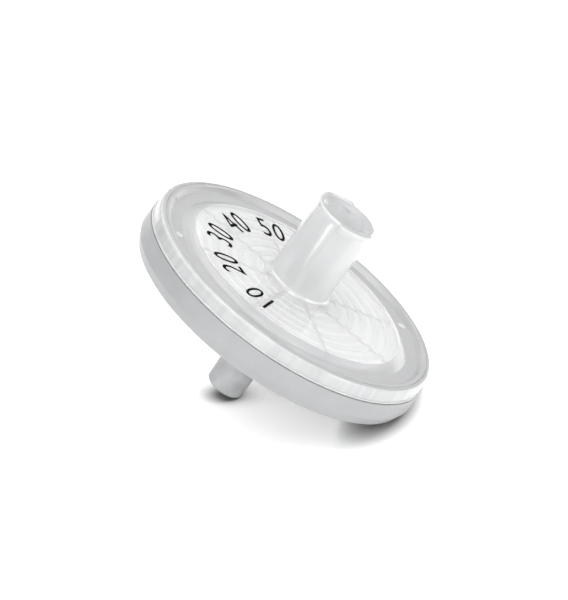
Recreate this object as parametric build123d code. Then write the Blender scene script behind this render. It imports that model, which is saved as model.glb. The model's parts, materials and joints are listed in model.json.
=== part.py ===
from build123d import *
import os
from math import atan2, cos, degrees, pi, radians, sin, tan

# A disc syringe filter: two moulded housings clamp a membrane, with a luer lock socket on the inlet
# side and a tapered luer outlet on the other. It lies as it comes to rest on a bench, on the edge of
# its disc and the tip of its outlet. Lengths are in millimetres. Up to the last section, heights are
# measured along the flow axis from the foot of the outlet housing.

# --- disc -------------------------------------------------------------------------------------
body_diameter = 33.0      # over the band of the outlet housing
band_height = 3.25        # from the foot to the joint between the housings
foot_inset = 0.6          # how far the band is drawn in at its foot
foot_height = 1.3         # height of that drawn-in foot
skirt_width = 1.9         # flat ring at the foot, round the recessed floor
floor_thickness = 1.2     # of the outlet housing, under its channels
foot_bevel = 0.3          # on the edge that the disc lies on

# --- joint between the housings, from the outside in ------------------------------------------
joint_ledge = 0.2         # step left all round where the inlet housing sits on the band
joint_width = 3.25        # flat joint outside the spigot
spigot_depth = 0.35       # of the step that locates the inlet housing in the outlet housing
joint_clearance = 0.05    # round the spigot and the membrane
clamp_width = 0.8         # rim of the membrane, gripped between the spigot and the outlet housing
membrane_thickness = 0.16

# --- top of the inlet housing, from the outside in --------------------------------------------
lip_height = 1.68         # above the joint
lip_width = 1.05
lip_bevel = 0.33          # on both edges of the lip
lip_slope = 0.4           # how far the lip's inner wall leans in
groove_depth = 0.5        # below the lip
groove_width = 1.35       # flat floor of the groove
crown_slope_width = 1.3   # from the groove's floor to the edge of the crown
crown_height = 0.67       # above the groove's floor
crown_edge_bevel = 0.45   # softens the edge of the crown
roof_thickness = 0.95     # over the inlet chamber

# --- inlet hub: female luer lock --------------------------------------------------------------
luer_taper = 0.06         # change of diameter per unit of length, in the socket and on the outlet
socket_diameter = 4.3     # at the mouth
socket_depth = 7.5        # length of the taper
socket_chamfer = 0.25
relief_length = 1.2       # straight stretch below the taper
throat_length = 1.45      # flow passage from there to the inlet chamber
hub_wall = 1.2            # at the mouth
hub_foot_bevel = 0.35     # where the hub meets the crown
mouth_bevel = 0.18        # on the outer edge of the mouth
lug_count = 2
lug_reach = 0.52          # beyond the hub
lug_height = 0.9          # at the thick end of each lug
lug_sweep = 56            # degrees round the hub
lug_lead = 5.0            # rise of the lugs' lower faces in a whole turn
lug_direction = -72       # middle of one lug

# --- outlet: male luer slip -------------------------------------------------------------------
outlet_reach = 8.8        # from the foot to the tip
outlet_diameter = 3.96    # at the tip
tip_bevel = 0.25          # on the outer edge of the tip
root_bevel = 0.5          # where the outlet meets the recessed floor
bore_diameter = 2.1       # flow passage of the outlet and of the throat

# --- flow patterns in the two chambers --------------------------------------------------------
spoke_count = 8           # hanging from the roof of the inlet chamber
spoke_direction = 19      # degrees, of one spoke
spoke_width = 0.5
spoke_start = 2.6         # radius at which the spokes begin
spoke_height = 0.85       # below the roof
ring_count = 4            # between the spokes; the outermost one lies against the chamber's wall
ring_pitch = 1.5
ring_width = 0.75
ring_height = 0.5         # below the roof
well_diameter = 6.4       # hollow under the middle of the membrane
channel_count = 16        # cut into the flat face that supports the membrane
channel_width = 0.8
channel_depth = 0.6
overlap = 0.05            # how far a spoke or ring reaches into the wall that carries it

# --- radii, worked out from the sizes above ---------------------------------------------------
body_r = body_diameter / 2
foot_r = body_r - foot_inset
skirt_inner_r = foot_r - skirt_width
wall_r = body_r - joint_ledge
spigot_r = wall_r - joint_width
recess_r = spigot_r + joint_clearance
chamber_r = spigot_r - clamp_width
lip_inner_r = wall_r - lip_width
groove_outer_r = lip_inner_r - lip_slope
groove_inner_r = groove_outer_r - groove_width
crown_edge_r = groove_inner_r - crown_slope_width
socket_r = socket_diameter / 2
relief_r = socket_r - luer_taper / 2 * (socket_depth - socket_chamfer)
hub_r = socket_r + hub_wall
lug_r = hub_r + lug_reach
bore_r = bore_diameter / 2
tip_r = outlet_diameter / 2
well_r = well_diameter / 2

# --- heights, worked out from the sizes above -------------------------------------------------
joint_z = band_height
clamp_z = joint_z - spigot_depth
support_z = clamp_z - membrane_thickness
floor_top_z = support_z - channel_depth
floor_z = floor_top_z - floor_thickness
lip_z = joint_z + lip_height
groove_z = lip_z - groove_depth
crown_z = groove_z + crown_height
roof_z = crown_z - roof_thickness
ring_z = roof_z - ring_height
relief_end_z = roof_z + throat_length
socket_end_z = relief_end_z + relief_length
mouth_z = socket_end_z + socket_depth
tip_z = -outlet_reach


def revolved(points, bevels):
    """Solid of revolution about the flow axis. bevels gives the corners to break, and by how much."""
    profile = make_face(Polyline(*points, close=True))
    for corner, size in bevels:
        profile = chamfer(profile.vertices().sort_by_distance(Vector(*corner))[0], size)
    return revolve(Plane.XZ * profile, Axis.Z)


def ring(inner_r, outer_r, low_z, high_z):
    """Flat ring about the flow axis."""
    height = high_z - low_z
    blank = Cylinder(outer_r, height) - Cylinder(inner_r, 2 * height)
    return Pos(0, 0, low_z + height / 2) * blank


def bars(count, direction, width, inner_r, outer_r, low_z, high_z):
    """Radial bars, evenly spaced about the flow axis."""
    bar = Box(outer_r - inner_r, width, high_z - low_z)
    bar = Pos((inner_r + outer_r) / 2, 0, (low_z + high_z) / 2) * bar
    return [Rot(0, 0, direction + number * 360 / count) * bar for number in range(count)]


def outlet_housing():
    """Lower moulding: band, recessed floor, luer outlet, and the channels under the membrane."""
    root_r = tip_r + luer_taper / 2 * (floor_z - tip_z)
    tip = (tip_r, tip_z)
    root = (root_r, floor_z)
    foot = (foot_r, 0)
    points = [
        (bore_r, tip_z), tip, root, (skirt_inner_r, floor_z), (skirt_inner_r, 0), foot,
        (body_r, foot_height), (body_r, joint_z), (recess_r, joint_z), (recess_r, support_z),
        (well_r, support_z), (well_r, floor_top_z), (bore_r, floor_top_z),
    ]
    bevels = [(tip, tip_bevel), (root, root_bevel), (foot, foot_bevel)]
    housing = revolved(points, bevels)
    channel_size = (channel_width, bore_r, chamber_r, floor_top_z, joint_z)
    for channel in bars(channel_count, spoke_direction, *channel_size):
        housing -= channel
    return housing


def membrane():
    """Flat disc, gripped round its rim."""
    return Pos(0, 0, (support_z + clamp_z) / 2) * Cylinder(spigot_r, membrane_thickness)


def lug():
    """Ear of the luer lock, flush with the mouth, whose lower face rises as a right-hand thread does."""
    half_width = 2 * lug_r * tan(radians(lug_sweep / 2))
    wedge = make_face(Polyline((0, 0), (2 * lug_r, -half_width), (2 * lug_r, half_width), close=True))
    blank = ring(socket_r + socket_chamfer, lug_r, mouth_z - lug_height, mouth_z)
    blank &= Pos(0, 0, mouth_z - lug_height) * extrude(wedge, lug_height)

    middle_r = (hub_r + lug_r) / 2
    half_rise = middle_r * sin(radians(lug_sweep / 2)) * lug_lead / (2 * pi * middle_r)
    ramp_angle = degrees(atan2(lug_lead, 2 * pi * middle_r))
    ramp = Pos(middle_r, 0, mouth_z - lug_height + half_rise) * Rot(ramp_angle, 0, 0)
    return blank - ramp * Pos(0, 0, -lug_r) * Box(4 * lug_r, 4 * lug_r, 2 * lug_r)


def inlet_housing():
    """Upper moulding: lip, groove, crown, luer lock hub, and the pattern that spreads the flow."""
    mouth_edge = (hub_r, mouth_z)
    hub_foot = (hub_r, crown_z)
    crown_edge = (crown_edge_r, crown_z)
    lip_inner = (lip_inner_r, lip_z)
    lip_outer = (wall_r, lip_z)
    points = [
        (bore_r, roof_z), (bore_r, relief_end_z), (relief_r, relief_end_z), (relief_r, socket_end_z),
        (socket_r, mouth_z - socket_chamfer), (socket_r + socket_chamfer, mouth_z), mouth_edge,
        hub_foot, crown_edge, (groove_inner_r, groove_z), (groove_outer_r, groove_z), lip_inner,
        lip_outer, (wall_r, joint_z), (spigot_r, joint_z), (spigot_r, clamp_z), (chamber_r, clamp_z),
        (chamber_r, ring_z), (chamber_r - ring_width, ring_z), (chamber_r - ring_width, roof_z),
    ]
    bevels = [
        (mouth_edge, mouth_bevel), (hub_foot, hub_foot_bevel), (crown_edge, crown_edge_bevel),
        (lip_inner, lip_bevel), (lip_outer, lip_bevel),
    ]
    housing = revolved(points, bevels)
    for number in range(lug_count):
        housing += Rot(0, 0, lug_direction + number * 360 / lug_count) * lug()
    for number in range(1, ring_count):
        outer_r = chamber_r - number * ring_pitch
        housing += ring(outer_r - ring_width, outer_r, ring_z, roof_z + overlap)
    spoke_size = (spoke_width, spoke_start, chamber_r + overlap, roof_z - spoke_height, roof_z + overlap)
    for spoke in bars(spoke_count, spoke_direction, *spoke_size):
        housing += spoke
    return housing


# --- resting pose: the bevels of the foot and of the outlet's tip both touch the bench ----------
def bevel_corners(corner, size, slope):
    """The two corners left by a bevel between a flat face and a wall that leans out by this slope."""
    radius, height = corner
    return [(radius - size, height), (radius + size * sin(slope), height + size * cos(slope))]


foot_corners = bevel_corners((foot_r, 0), foot_bevel, atan2(foot_inset, foot_height))
tip_corners = bevel_corners((tip_r, tip_z), tip_bevel, atan2(luer_taper, 2))
tilt = min(
    max(atan2(foot[1] - tip[1], foot[0] - tip[0]) for tip in tip_corners) for foot in foot_corners
)
lift = max(radius * sin(tilt) - height * cos(tilt) for radius, height in foot_corners)

nodes = {
    "outlet_housing": outlet_housing(),
    "membrane": membrane(),
    "inlet_housing": inlet_housing(),
}
lying = {name: Pos(0, 0, lift) * Rot(0, degrees(tilt), 0) * shape for name, shape in nodes.items()}
boxes = [shape.bounding_box() for shape in lying.values()]
centring = -(min(box.min.X for box in boxes) + max(box.max.X for box in boxes)) / 2

os.makedirs("parts", exist_ok=True)
for name, shape in lying.items():
    export_step(Pos(centring, 0, 0) * shape, f"parts/{name}.step")

print(f"tilt {degrees(tilt):.3f} degrees, foot of the flow axis at ({centring:.4f}, 0, {lift:.4f})")
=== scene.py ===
import json
from math import asin, cos, pi, radians, sin, tan

import bmesh
import bpy
from mathutils import Matrix, Vector


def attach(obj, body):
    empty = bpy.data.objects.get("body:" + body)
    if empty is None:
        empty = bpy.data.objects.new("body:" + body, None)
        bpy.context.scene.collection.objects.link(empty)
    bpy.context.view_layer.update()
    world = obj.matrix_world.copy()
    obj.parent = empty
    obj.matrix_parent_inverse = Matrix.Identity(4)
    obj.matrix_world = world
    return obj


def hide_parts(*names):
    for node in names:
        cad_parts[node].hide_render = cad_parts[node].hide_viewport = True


# A disc syringe filter lying on the edge of its disc and the tip of its outlet. Its shapes are drawn in
# millimetres in the flow frame, whose +Z runs along the flow axis from the foot of the disc to the inlet,
# as in the CAD. Placing a piece turns it into the row's frame, in metres, where lights and camera are too.
MM = 0.001

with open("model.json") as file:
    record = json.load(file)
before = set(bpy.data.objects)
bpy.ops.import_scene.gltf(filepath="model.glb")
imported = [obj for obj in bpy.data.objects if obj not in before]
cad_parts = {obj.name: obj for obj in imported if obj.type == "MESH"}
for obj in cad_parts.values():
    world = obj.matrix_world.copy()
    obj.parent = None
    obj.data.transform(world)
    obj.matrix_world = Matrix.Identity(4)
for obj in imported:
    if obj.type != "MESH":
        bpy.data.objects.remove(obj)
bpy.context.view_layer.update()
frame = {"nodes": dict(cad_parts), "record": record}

mounts = {mount["name"]: mount for mount in frame["record"]["mounts"]}
FLOW_UP = Vector(mounts["inlet"]["axis"])
FLOW_SIDE = Vector((FLOW_UP.z, 0, -FLOW_UP.x))
OUTLET_REACH = 8.8                           # from the foot of the disc to the outlet's tip
FOOT = Vector(mounts["outlet"]["pos_m"]) + OUTLET_REACH * MM * FLOW_UP
FLOW_FRAME = Matrix((
    (FLOW_SIDE.x, 0, FLOW_UP.x, FOOT.x),
    (FLOW_SIDE.y, 1, FLOW_UP.y, FOOT.y),
    (FLOW_SIDE.z, 0, FLOW_UP.z, FOOT.z),
    (0, 0, 0, 1),
)) @ Matrix.Scale(MM, 4)


# --- materials ---------------------------------------------------------------------------------
NOISE_SPAN = (0.3, 0.7)                      # nearly all the values of a noise texture lie in it
PAINTED_LIGHT_REACH = 2.0 * MM                        # from the foot down to where the outlet's painted light is full


class Graph:
    """The nodes of a material or a world, and short ways to add to them."""

    def __init__(self, owner, shader):
        owner.use_nodes = True
        self.owner = owner
        self.nodes = owner.node_tree.nodes
        self.links = owner.node_tree.links
        self.shader = self.nodes[shader]

    def add(self, kind, **values):
        """A new node. A value goes to the socket of its name, or else to the node itself."""
        node = self.nodes.new(kind)
        for key, value in values.items():
            if key in node.inputs:
                node.inputs[key].default_value = value
            else:
                setattr(node, key, value)
        return node

    def place(self, space):
        return self.add("ShaderNodeTexCoord").outputs[space]

    def dot(self, vector, direction):
        node = self.add("ShaderNodeVectorMath", operation="DOT_PRODUCT")
        node.inputs[1].default_value = direction
        self.links.new(vector, node.inputs[0])
        return node.outputs["Value"]

    def across(self, vector, direction):
        """What is left of a vector without its part along a direction."""
        along = self.add("ShaderNodeVectorMath", operation="PROJECT")
        along.inputs[1].default_value = direction
        self.links.new(vector, along.inputs[0])
        rest = self.add("ShaderNodeVectorMath", operation="SUBTRACT")
        self.links.new(vector, rest.inputs[0])
        self.links.new(along.outputs["Vector"], rest.inputs[1])
        return rest.outputs["Vector"]

    def noise(self, scale, drawn=False):
        """Noise that fills the object's space. Where drawn, it runs in streaks along the flow axis."""
        node = self.add("ShaderNodeTexNoise", Scale=scale, Detail=3.0, Roughness=0.5)
        place = self.place("Object")
        self.links.new(self.across(place, FLOW_UP) if drawn else place, node.inputs["Vector"])
        return node.outputs["Fac"]

    def blend(self, factor, span, first, last):
        """A colour that goes from the first to the last while the factor crosses the span."""
        node = self.add("ShaderNodeValToRGB")
        for element, place, colour in zip(node.color_ramp.elements, span, (first, last)):
            element.position = place
            element.color = (*colour, 1)
        self.links.new(factor, node.inputs["Fac"])
        return node.outputs["Color"]

    def remap(self, value, before, after):
        """Carries values from one range over to another."""
        ends = {"From Min": before[0], "From Max": before[1], "To Min": after[0], "To Max": after[1]}
        node = self.add("ShaderNodeMapRange", **ends)
        self.links.new(value, node.inputs["Value"])
        return node.outputs["Result"]

    def bump(self, height, distance, rounding=0.0):
        """Roughens the surface, and softens its edges by a rounding, both in metres."""
        node = self.add("ShaderNodeBump", Distance=distance)
        self.links.new(height, node.inputs["Height"])
        if rounding:
            edge = self.add("ShaderNodeBevel", samples=6, Radius=rounding)
            self.links.new(edge.outputs["Normal"], node.inputs["Normal"])
        self.links.new(node.outputs["Normal"], self.shader.inputs["Normal"])

    def set(self, **values):
        """Sets the shader's sockets, each to a value or to what another socket gives."""
        for key, value in values.items():
            socket = self.shader.inputs[key.replace("_", " ")]
            if isinstance(value, bpy.types.NodeSocket):
                self.links.new(value, socket)
            else:
                socket.default_value = value


def new_material(name):
    return Graph(bpy.data.materials.new(name), "Principled BSDF")


def clear_plastic(name, clearness, shade, gloss=(0.1, 0.18), sheen=0.5, streaks=0.0):
    """Translucent polypropylene, faintly cloudy or streaked, with the soft gloss of a polished mould."""
    graph = new_material(name)
    cloud = graph.noise(1300, drawn=True) if streaks else graph.noise(420)
    dark = shade - 0.02 - streaks
    light = shade + streaks
    darker, lighter = (dark, dark + 0.005, dark + 0.01), (light, light + 0.002, light + 0.005)
    graph.set(
        Base_Color=graph.blend(cloud, NOISE_SPAN, darker, lighter),
        Roughness=graph.remap(graph.noise(1500), NOISE_SPAN, gloss),
        IOR=1.49,
        Specular_IOR_Level=sheen,
        Transmission_Weight=clearness,
    )
    graph.bump(graph.noise(900), 0.00002)
    return graph.owner


def milky_plastic():
    """Milky polypropylene with the fine matte finish of a spark-eroded mould, with painted light: the
    outlet below the foot of the disc is painted paler.
    """
    graph = new_material("milky_polypropylene")
    body_colour = graph.blend(graph.noise(300), NOISE_SPAN, (0.275, 0.279, 0.283), (0.30, 0.304, 0.308))
    # Painted light: below the foot of the disc the outlet is painted paler than the body.
    painted_light_colour = graph.blend(graph.noise(420), NOISE_SPAN, (0.32, 0.325, 0.33), (0.48, 0.485, 0.49))
    foot_height = FLOW_UP.dot(FOOT)
    height = graph.dot(graph.place("Object"), FLOW_UP)
    share = graph.remap(height, (foot_height - PAINTED_LIGHT_REACH, foot_height), (0.0, 1.0))
    # The colour sockets share their names with others of the node, so they go by number.
    colour = graph.add("ShaderNodeMix", data_type="RGBA")
    graph.links.new(share, colour.inputs["Factor"])
    graph.links.new(painted_light_colour, colour.inputs[6])
    graph.links.new(body_colour, colour.inputs[7])
    graph.set(
        Base_Color=colour.outputs[2],
        Roughness=graph.remap(graph.noise(2500), NOISE_SPAN, (0.38, 0.5)),
        IOR=1.49,
        Transmission_Weight=0.12,
    )
    graph.bump(graph.noise(3500), 0.00001, rounding=0.00018)
    return graph.owner


def filter_sheet():
    """White microporous sheet."""
    graph = new_material("membrane_sheet")
    fibre = graph.noise(2000)
    graph.set(
        Base_Color=graph.blend(fibre, NOISE_SPAN, (0.78, 0.78, 0.775), (0.82, 0.82, 0.815)),
        Roughness=0.8,
    )
    graph.bump(graph.noise(6000), 0.00001)
    return graph.owner


def printing_ink():
    """Black pad-printed ink, a little uneven in its cover."""
    graph = new_material("printing_ink")
    cover = graph.noise(5000)
    graph.set(
        Base_Color=graph.blend(cover, NOISE_SPAN, (0.003, 0.003, 0.003), (0.008, 0.008, 0.009)),
        Roughness=graph.remap(graph.noise(3000), NOISE_SPAN, (0.5, 0.65)),
        Specular_IOR_Level=0.0,
    )
    return graph.owner


def dress(node, material):
    slots = frame["nodes"][node].data.materials
    for index in range(len(slots)):
        slots[index] = material


def placed(name, shape, *materials):
    """Adds a piece from a bmesh drawn in the flow frame, in millimetres."""
    data = bpy.data.meshes.new(name)
    bmesh.ops.recalc_face_normals(shape, faces=shape.faces)
    shape.to_mesh(data)
    shape.free()
    data.transform(FLOW_FRAME)
    for material in materials:
        data.materials.append(material)
    piece = bpy.data.objects.new(name, data)
    bpy.context.scene.collection.objects.link(piece)
    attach(piece, "root")
    return piece


# --- inlet housing: one closed skin, laid as rings of points round the flow axis -----------------
# Radii, from the outside in.
BODY_R = mounts["rim"]["dims"]["r_mm"]
WALL_R = BODY_R - 0.2
LIP_INNER_R = WALL_R - 1.05
GROOVE_OUTER_R = LIP_INNER_R - 0.4
GROOVE_INNER_R = GROOVE_OUTER_R - 1.35
CROWN_R = GROOVE_INNER_R - 1.3
SPIGOT_R = WALL_R - 3.25
CHAMBER_R = SPIGOT_R - 0.8
SOCKET_R = 2.15                              # at the mouth, where its taper would end
HUB_R = SOCKET_R + 1.2
RELIEF_R = mounts["inlet"]["dims"]["r_mm"]
THROAT_R = 1.05

# Heights, from the joint between the housings.
JOINT_Z = 3.25
CLAMP_Z = JOINT_Z - 0.35
LIP_Z = JOINT_Z + 1.68
GROOVE_Z = LIP_Z - 0.5
CROWN_Z = GROOVE_Z + 0.67
ROOF_Z = CROWN_Z - 0.95                      # underside of the roof, over the inlet chamber
RELIEF_LOW_Z = ROOF_Z + 1.45
RELIEF_HIGH_Z = RELIEF_LOW_Z + mounts["inlet"]["dims"]["length_mm"]
MOUTH_Z = RELIEF_HIGH_Z + 7.5

# Round edges.
LIP_INNER_ROUND, LIP_OUTER_ROUND = 0.33, 0.47
GROOVE_OUTER_ROUND, GROOVE_INNER_ROUND = 0.12, 0.25
CROWN_ROUND, HUB_FOOT_ROUND = 1.6, 0.45
MOUTH_ROUND, LEAD_OUTER_ROUND, LEAD_INNER_ROUND = 0.3, 0.15, 0.25
THROAT_ROUND, FINE_ROUND, LINE_ROUND = 0.15, 0.05, 0.03

# Small forms.
LEAD_WIDTH, LEAD_DEPTH = 0.7, 0.35           # the lead-in widens the socket at its mouth
BEAD_R, BEAD_LOW, BEAD_HIGH = 16.44, 0.09, 0.25   # weld bead round the wall, above the joint
LINE_R, LINE_WIDTH, LINE_DEPTH = 15.67, 0.2, 0.12   # fine line round the top of the lip

LUG_COUNT, LUG_DIRECTION, LUG_SWEEP = 2, radians(-72), radians(56)
LUG_START, LUG_RUNOUT = radians(8), radians(18)     # length of its steep end and of its tapered end
LUG_REACH, LUG_HEIGHT, LUG_LEAD, LUG_FLANK = 0.52, 0.9, 5.0, 0.1

SPOKE_COUNT, SPOKE_DIRECTION, SPOKE_WIDTH, SPOKE_START, SPOKE_HEIGHT = 8, radians(19), 0.5, 2.6, 0.85
RING_COUNT, RING_PITCH, RING_WIDTH, RING_HEIGHT = 6, 1.5, 0.75, 0.5
PATTERN_DRAFT = 0.04                         # lean of the walls of the rings and spokes

COLUMNS = 36                                 # points from one spoke to the next
ARC_STEPS = 5
SHARP_EDGE = radians(35)
LEVEL_SLACK = 0.02                           # tells a flat face from its neighbours by height

DISC, HUB, RECESS, EDGE, WALL = range(5)     # order of the skin's materials, copies of the clear plastic that paint light and shade


def rounded(corners):
    """Points along an open outline. Its inner corners, given with a radius, are turned as arcs."""
    points = []
    for before, (radius, height, rounding), after in zip(corners, corners[1:], corners[2:]):
        corner = Vector((radius, height))
        if not rounding:
            points.append((radius, height))
            continue
        back = (Vector(before[:2]) - corner).normalized()
        on = (Vector(after[:2]) - corner).normalized()
        half_turn = back.angle(on) / 2
        centre = corner + (back + on).normalized() * rounding / sin(half_turn)
        start = corner + back * rounding / tan(half_turn) - centre
        end = corner + on * rounding / tan(half_turn) - centre
        for step in range(ARC_STEPS + 1):
            arm = start.lerp(end, step / ARC_STEPS).normalized() * rounding
            points.append(tuple(centre + arm))
    return points


def column_angles(radius):
    """Where a ring of the skin has its points, with some on the walls of every spoke."""
    foot = asin((SPOKE_WIDTH / 2 + PATTERN_DRAFT) / max(radius, SPOKE_START))
    edge = asin(SPOKE_WIDTH / 2 / max(radius, SPOKE_START))
    sector = 2 * pi / SPOKE_COUNT
    step = (sector - 2 * foot) / (COLUMNS - 4)
    in_sector = [0, edge, *(foot + number * step for number in range(COLUMNS - 3)), sector - edge]
    starts = [SPOKE_DIRECTION + spoke * sector for spoke in range(SPOKE_COUNT)]
    return [start + angle for start in starts for angle in in_sector]


def on_spoke(column):
    return column % COLUMNS in (0, 1, COLUMNS - 1)


def lug_at(angle):
    """How far a lug stands out at this angle, from 0 to 1, and the height of its lower face."""
    between = 2 * pi / LUG_COUNT
    aside = (angle - LUG_DIRECTION + between / 2) % between - between / 2
    past_end = abs(aside) - LUG_SWEEP / 2
    share = 1 - min(max(past_end / (LUG_RUNOUT if aside > 0 else LUG_START), 0), 1)
    share = share * share * (3 - 2 * share)
    along = min(max(aside, -LUG_SWEEP / 2), LUG_SWEEP / 2) + LUG_SWEEP / 2
    return share, MOUTH_Z - LUG_HEIGHT + LUG_LEAD * along / (2 * pi)


# A row of the skin is a function that gives the radius and the height at an angle and a column.
def fixed(radius, height):
    return lambda angle, column: (radius, height)


def hub_edge_rows():
    """Rows round the mouth's outer edge and down over the lugs."""
    def over(inset, drop):
        return lambda angle, column: (HUB_R + LUG_REACH * lug_at(angle)[0] - inset, MOUTH_Z - drop)

    def under_lug(angle, column):
        share, low_z = lug_at(angle)
        return HUB_R + LUG_REACH * share, low_z

    def below_lug(angle, column):
        return HUB_R, lug_at(angle)[1] - LUG_FLANK

    turns = [pi / 2 * step / ARC_STEPS for step in range(ARC_STEPS + 1)]
    edge = [over(MOUTH_ROUND * (1 - sin(turn)), MOUTH_ROUND * (1 - cos(turn))) for turn in turns]
    return edge + [under_lug, below_lug]


def pattern_rows():
    """Rows under the roof, from the chamber's wall inwards, with the spokes and rings on it."""
    def under_roof(radius, height):
        return lambda angle, column: (radius, ROOF_Z - SPOKE_HEIGHT if on_spoke(column) else height)

    ring_z = ROOF_Z - RING_HEIGHT
    rows = [under_roof(CHAMBER_R, ring_z)]
    for number in range(RING_COUNT):
        outer_r = CHAMBER_R - number * RING_PITCH
        inner_r = outer_r - RING_WIDTH
        if number:
            rows += [under_roof(outer_r + PATTERN_DRAFT, ROOF_Z), under_roof(outer_r, ring_z)]
        rows += [under_roof(inner_r, ring_z), under_roof(inner_r - PATTERN_DRAFT, ROOF_Z)]
    return rows + [under_roof(SPOKE_START, ROOF_Z), fixed(SPOKE_START - PATTERN_DRAFT, ROOF_Z)]


def skin_rows():
    """All the rows of the skin, from the mouth down the outside, under the roof and up the bore."""
    bead_low_z, bead_high_z = JOINT_Z + BEAD_LOW, JOINT_Z + BEAD_HIGH
    outside = rounded([
        (HUB_R, MOUTH_Z, 0), (HUB_R, CROWN_Z, HUB_FOOT_ROUND), (CROWN_R, CROWN_Z, CROWN_ROUND),
        (GROOVE_INNER_R, GROOVE_Z, GROOVE_INNER_ROUND), (GROOVE_OUTER_R, GROOVE_Z, GROOVE_OUTER_ROUND),
        (LIP_INNER_R, LIP_Z, LIP_INNER_ROUND),
        (LINE_R - LINE_WIDTH / 2, LIP_Z, LINE_ROUND), (LINE_R, LIP_Z - LINE_DEPTH, LINE_ROUND),
        (LINE_R + LINE_WIDTH / 2, LIP_Z, LINE_ROUND), (WALL_R, LIP_Z, LIP_OUTER_ROUND),
        (WALL_R, bead_high_z, FINE_ROUND), (BEAD_R, bead_high_z, FINE_ROUND),
        (BEAD_R, bead_low_z, FINE_ROUND), (WALL_R, bead_low_z, 0), (WALL_R, JOINT_Z, 0),
        (SPIGOT_R, JOINT_Z, 0), (SPIGOT_R, CLAMP_Z, FINE_ROUND), (CHAMBER_R, CLAMP_Z, FINE_ROUND),
        (CHAMBER_R, ROOF_Z, 0),
    ])
    inside = rounded([
        (SPOKE_START, ROOF_Z, 0), (THROAT_R, ROOF_Z, THROAT_ROUND), (THROAT_R, RELIEF_LOW_Z, 0),
        (RELIEF_R, RELIEF_LOW_Z, FINE_ROUND), (RELIEF_R, RELIEF_HIGH_Z, 0),
        (SOCKET_R, MOUTH_Z - LEAD_DEPTH, LEAD_INNER_ROUND),
        (SOCKET_R + LEAD_WIDTH, MOUTH_Z, LEAD_OUTER_ROUND), (HUB_R - MOUTH_ROUND, MOUTH_Z, 0),
    ])
    rows = hub_edge_rows()
    rows += [fixed(*point) for point in outside]
    rows += pattern_rows()
    rows += [fixed(*point) for point in inside]
    return rows


def skin_zone(middle):
    """The material of a face of the skin, by the place of its middle in the flow frame: the copy of the
    clear plastic whose painted shade or light lies on that zone.
    """
    radius = middle.to_2d().length
    if middle.z > CROWN_Z + HUB_FOOT_ROUND / 2:
        # The mouth and the socket get the darker edge copy, a painted shade.
        outside = radius > HUB_R - MOUTH_ROUND and middle.z < MOUTH_Z - LEVEL_SLACK
        return HUB if outside else EDGE
    # The weld bead gets the hub copy, painted lighter than the wall.
    if radius > (WALL_R + BEAD_R) / 2:
        return HUB
    # Painted shade: the groove, lip, slope and chamber walls get the darker edge copy, the outer wall a
    # darker copy too.
    if radius > CROWN_R:
        return EDGE if radius < WALL_R - LIP_OUTER_ROUND / 3 else WALL
    # Under the roof the ring walls get the lighter hub copy and the spokes' deep faces the darkest: painted
    # shade.
    if middle.z > ROOF_Z - LEVEL_SLACK:
        return DISC
    return HUB if middle.z > ROOF_Z - RING_HEIGHT - LEVEL_SLACK else RECESS


def inlet_housing(materials):
    shape = bmesh.new()
    rings = []
    for row in skin_rows():
        row_r = row(0, 0)[0]
        ring = []
        for column, angle in enumerate(column_angles(min(row_r, CHAMBER_R))):
            radius, height = row(angle, column)
            ring.append(shape.verts.new((radius * cos(angle), radius * sin(angle), height)))
        rings.append(ring)
    for ring, following in zip(rings, rings[1:] + rings[:1]):
        for column in range(len(ring)):
            beside = (column + 1) % len(ring)
            shape.faces.new((ring[column], ring[beside], following[beside], following[column]))

    piece = placed("inlet_skin", shape, *materials)
    to_flow_frame = FLOW_FRAME.inverted()
    for face in piece.data.polygons:
        face.material_index = skin_zone(to_flow_frame @ face.center)
    piece.data.shade_smooth()
    piece.data.set_sharp_from_angle(angle=SHARP_EDGE)
    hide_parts("inlet_housing")


# --- print: a plain scale of numbers round the crown ---------------------------------------------
NUMBERS = "10 20 30 40 50"
NUMBERS_START, NUMBERS_STEP = radians(248), radians(-11)
BASELINE_R = 7.95
LETTER_SIZE, LETTER_SQUEEZE = 4.4, 0.7
INK_THICKNESS = 0.016


def numbers():
    shape = bmesh.new()
    for place, character in enumerate(NUMBERS):
        if character == " ":
            continue
        text = bpy.data.curves.new("character", "FONT")
        text.body = character
        text.align_x = "CENTER"
        text.size = LETTER_SIZE
        text.extrude = INK_THICKNESS / 2
        outline = bpy.data.meshes.new_from_object(bpy.data.objects.new("character", text))
        turn = Matrix.Rotation(NUMBERS_START + place * NUMBERS_STEP - pi / 2, 4, "Z")
        lift = Matrix.Translation((0, BASELINE_R, CROWN_Z + INK_THICKNESS / 2))
        outline.transform(turn @ lift @ Matrix.Diagonal((LETTER_SQUEEZE, 1, 1, 1)))
        shape.from_mesh(outline)
    placed("scale_numbers", shape, printing_ink())


# --- moulding marks: two faint round marks, each in two steps, on the groove's floor --------------
MARK_DIRECTIONS = (radians(24), radians(193))
MARK_STEPS = ((0.45, 0.06), (0.315, 0.078))   # radius and rise of each step
MARK_DRAFT = 0.9                             # top of a step over its foot
MARK_SIDES = 48


def moulding_marks(material):
    shape = bmesh.new()
    middle_r = (GROOVE_INNER_R + GROOVE_OUTER_R) / 2
    for direction in MARK_DIRECTIONS:
        place = Matrix.Translation((middle_r * cos(direction), middle_r * sin(direction), GROOVE_Z))
        for radius, rise in MARK_STEPS:
            height = Matrix.Translation((0, 0, rise / 2)) @ Matrix.Diagonal((1, 1, rise, 1))
            bmesh.ops.create_cone(
                shape, cap_ends=True, segments=MARK_SIDES, radius1=radius, radius2=radius * MARK_DRAFT,
                depth=1, matrix=place @ height,
            )
    piece = placed("moulding_marks", shape, material)


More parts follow.
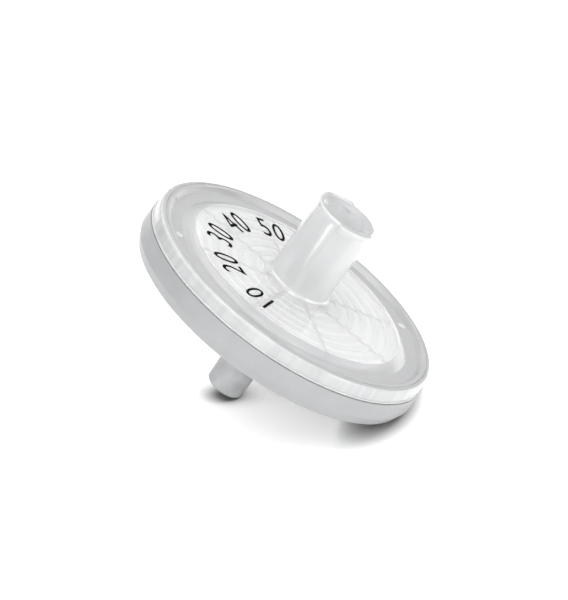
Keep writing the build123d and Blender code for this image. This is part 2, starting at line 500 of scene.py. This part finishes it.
# The clear moulding is one plastic, given lighter and darker copies by zone as painted light and shade:
# the groove, lip, slope, chamber walls, socket and outer wall are painted darker, the spokes' deep faces
# under the roof darkest; the hub's copy, lighter than these, also lies on the weld bead and ring walls.
clear_disc = clear_plastic("clear_polypropylene", 0.73, 0.89, sheen=0.15)
clear_hub_painted_light_and_shade = clear_plastic("clear_polypropylene_hub_painted_light_and_shade", 0.56, 0.8, gloss=(0.12, 0.18))
clear_recess_painted_shade = clear_plastic("clear_polypropylene_recess_painted_shade", 0.6, 0.42)
clear_edge_painted_shade = clear_plastic("clear_polypropylene_edge_painted_shade", 0.55, 0.48, sheen=0.35)
clear_wall_painted_shade = clear_plastic("clear_polypropylene_wall_painted_shade", 0.4, 0.56, streaks=0.03)

dress("inlet_housing", clear_disc)
dress("outlet_housing", milky_plastic())
dress("membrane", filter_sheet())
inlet_housing([clear_disc, clear_hub_painted_light_and_shade, clear_recess_painted_shade, clear_edge_painted_shade, clear_wall_painted_shade])
moulding_marks(clear_disc)
numbers()


# --- floor, light and camera, in metres ----------------------------------------------------------
FLOOR_SIZE = 6
PAINTED_SHADOW_REACH = 0.0046                       # how near the object must be to paint shadow on the floor
PAINTED_SHADOW_SIDE = {"X": 0.45, "Y": -0.1, "Z": 0.89}


def floor():
    """Pale, faintly glowing paper with a painted shadow. Its colour and glow darken where the object is
    close above it and to the right, so the painted shadow lies under the raised side of the disc, and its
    open side stays clear."""
    bpy.ops.mesh.primitive_plane_add(size=FLOOR_SIZE)
    plane = bpy.context.object
    plane.name = "floor"
    graph = new_material("pale_floor")
    paint = graph.blend(graph.noise(3), NOISE_SPAN, (0.83, 0.83, 0.83), (0.85, 0.85, 0.85))
    nearby = graph.add("ShaderNodeAmbientOcclusion", samples=16, Distance=PAINTED_SHADOW_REACH)
    side = graph.add("ShaderNodeCombineXYZ", **PAINTED_SHADOW_SIDE)
    graph.links.new(side.outputs["Vector"], nearby.inputs["Normal"])
    # Painted shadow: the floor's colour and glow are darkened where the object is near.
    painted_contact_shadow = graph.remap(nearby.outputs["AO"], (0.33, 0.83), (0.08, 1.0))
    shaded = graph.add("ShaderNodeVectorMath", operation="SCALE")
    graph.links.new(paint, shaded.inputs[0])
    graph.links.new(painted_contact_shadow, shaded.inputs["Scale"])
    glow = graph.add("ShaderNodeMath", operation="MULTIPLY")
    glow.inputs[1].default_value = 0.3
    graph.links.new(painted_contact_shadow, glow.inputs[0])
    graph.set(
        Base_Color=shaded.outputs["Vector"],
        Roughness=0.9,
        Emission_Color=(1, 1, 1, 1),
        Emission_Strength=glow.outputs["Value"],
    )
    plane.data.materials.append(graph.owner)


def softbox(name, place, target, size, power):
    data = bpy.data.lights.new(name, "AREA")
    data.shape = "RECTANGLE"
    data.size, data.size_y = size
    data.energy = power
    light = bpy.data.objects.new(name, data)
    light.location = place
    light.rotation_euler = (Vector(target) - Vector(place)).to_track_quat("-Z", "Y").to_euler()
    bpy.context.scene.collection.objects.link(light)


def sky():
    """A white studio, brightest overhead and grey at the horizon, with a dark flag at the far left."""
    graph = Graph(bpy.data.worlds.new("studio"), "Background")
    direction = graph.place("Generated")
    overhead = graph.dot(direction, Vector((0.12, 0.05, 0.99)).normalized())
    flag = graph.dot(direction, Vector((-0.87, 0.45, 0.1)).normalized())
    graph.set(
        Color=graph.blend(overhead, (0.0, 0.75), (0.25, 0.252, 0.255), (1.0, 1.0, 1.0)),
        Strength=graph.remap(flag, (0.75, 0.95), (2.25, 0.3)),
    )
    bpy.context.scene.world = graph.owner


def studio():
    sky()
    bpy.context.scene.view_settings.view_transform = "Standard"
    softbox("key", (0.12, -0.06, 0.42), (0, 0, 0.01), (0.3, 0.3), 0.4)
    softbox("fill", (-0.08, -0.6, 0.2), (0, 0, 0.015), (0.4, 0.3), 0.95)
    softbox("rim", (0.5, -0.25, 0.06), (0, 0, 0.01), (0.2, 0.1), 0.45)
    softbox("strip", (-0.43, -0.42, 0.03), (0, 0, 0.02), (0.16, 0.05), 0.25)


def camera():
    """Looks along +Y and down, with the foot of the disc a little beside and below the picture's middle."""
    elevation, roll = radians(25.92), 0.0116
    distance, beside, above = 911 * MM, 1.341 * MM, 2.166 * MM
    ahead = Vector((0, cos(elevation), -sin(elevation)))
    level_right, level_up = Vector((1, 0, 0)), Vector((0, sin(elevation), cos(elevation)))
    right = cos(roll) * level_right + sin(roll) * level_up
    up = cos(roll) * level_up - sin(roll) * level_right
    place = FOOT - distance * ahead + beside * right + above * up
    data = bpy.data.cameras.new("camera")
    data.lens = 540
    data.sensor_width = 36
    data.clip_start, data.clip_end = 0.01, 20
    view = bpy.data.objects.new("camera", data)
    view.matrix_world = Matrix((
        (right.x, up.x, -ahead.x, place.x),
        (right.y, up.y, -ahead.y, place.y),
        (right.z, up.z, -ahead.z, place.z),
        (0, 0, 0, 1),
    ))
    bpy.context.scene.collection.objects.link(view)
    bpy.context.scene.camera = view


floor()
studio()
camera()
